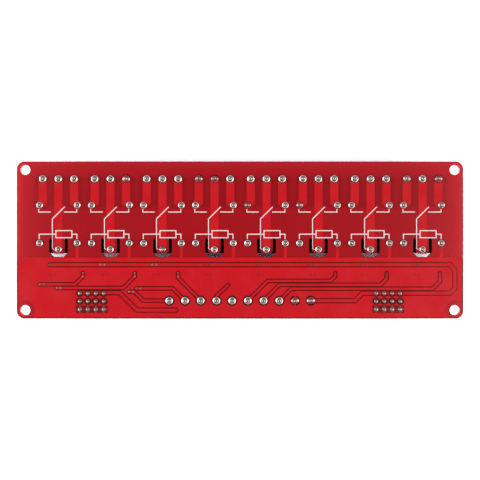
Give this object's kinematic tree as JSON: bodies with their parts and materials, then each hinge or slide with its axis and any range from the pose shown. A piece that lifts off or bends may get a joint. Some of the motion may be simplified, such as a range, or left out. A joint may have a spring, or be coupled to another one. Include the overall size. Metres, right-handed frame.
{
  "type": "relay module board",
  "caption": "Bare circuit module that switches loads through a row of sealed relays, with screw terminals along both long edges, jumper blocks, and four mounting holes.",
  "frame": {"origin": "centre of the four mounting holes, on the solder side's face of the board", "axes": "+X along the board, +Y towards the relays' output terminals, +Z out of the solder side, so every component hangs to -Z"},
  "size_m": [0.142, 0.05, 0.0182],
  "materials": {
    "mask_on_laminate": "solder mask, gloss",
    "mask_on_copper": "solder mask, gloss",
    "print_white": "printed ink",
    "pad_tin": "tinned",
    "via_tin": "tented",
    "solder": "bright tin alloy",
    "tinned_pin": "tinned copper",
    "relay_plastic": "moulded, satin",
    "relay_base_plastic": "moulded",
    "terminal_plastic": "moulded, satin",
    "clamp_metal": "nickel plated",
    "screw_metal": "zinc plated",
    "header_plastic": "moulded",
    "header_pin_metal": "gold flashed",
    "cap_plastic": "moulded",
    "opto_plastic": "moulded resin",
    "chip_plastic": "moulded resin",
    "chip_ceramic": "glazed film",
    "led_resin": "clear resin over phosphor",
    "lead_tin": "tinned"
  },
  "bodies": {
    "root": {"pcb": "mask_on_laminate", "pads": "pad_tin", "contact_strips": "mask_on_copper", "signal_tracks": "mask_on_copper", "ground_pour": "mask_on_copper", "vias": "via_tin", "printed_symbols": "print_white", "solder_outputs": "solder", "solder_inputs": "solder", "solder_relays": "solder", "solder_headers": "solder", "relay_pins": "tinned_pin", "output_clamps": "clamp_metal", "output_screws": "screw_metal", "output_legs": "tinned_pin", "input_housing": "terminal_plastic", "input_clamps": "clamp_metal", "input_screws": "screw_metal", "input_legs": "tinned_pin", "header_base_left": "header_plastic", "header_base_right": "header_plastic", "header_pin_set": "header_pin_metal", "jumper_caps_left": "cap_plastic", "jumper_caps_right": "cap_plastic", "opto_bodies": "opto_plastic", "opto_leads": "lead_tin", "diode_bodies": "chip_plastic", "diode_tabs": "lead_tin", "transistor_bodies": "chip_plastic", "transistor_leads": "lead_tin", "led_bodies": "led_resin", "resistor_bodies": "chip_ceramic", "chip_ends": "lead_tin", "relay_case_1": "relay_plastic", "relay_base_1": "relay_base_plastic", "output_housing_1": "terminal_plastic", "relay_case_2": "relay_plastic", "relay_base_2": "relay_base_plastic", "output_housing_2": "terminal_plastic", "relay_case_3": "relay_plastic", "relay_base_3": "relay_base_plastic", "output_housing_3": "terminal_plastic", "relay_case_4": "relay_plastic", "relay_base_4": "relay_base_plastic", "output_housing_4": "terminal_plastic", "relay_case_5": "relay_plastic", "relay_base_5": "relay_base_plastic", "output_housing_5": "terminal_plastic", "relay_case_6": "relay_plastic", "relay_base_6": "relay_base_plastic", "output_housing_6": "terminal_plastic", "relay_case_7": "relay_plastic", "relay_base_7": "relay_base_plastic", "output_housing_7": "terminal_plastic", "relay_case_8": "relay_plastic", "relay_base_8": "relay_base_plastic", "output_housing_8": "terminal_plastic"}
  },
  "joints": []
}
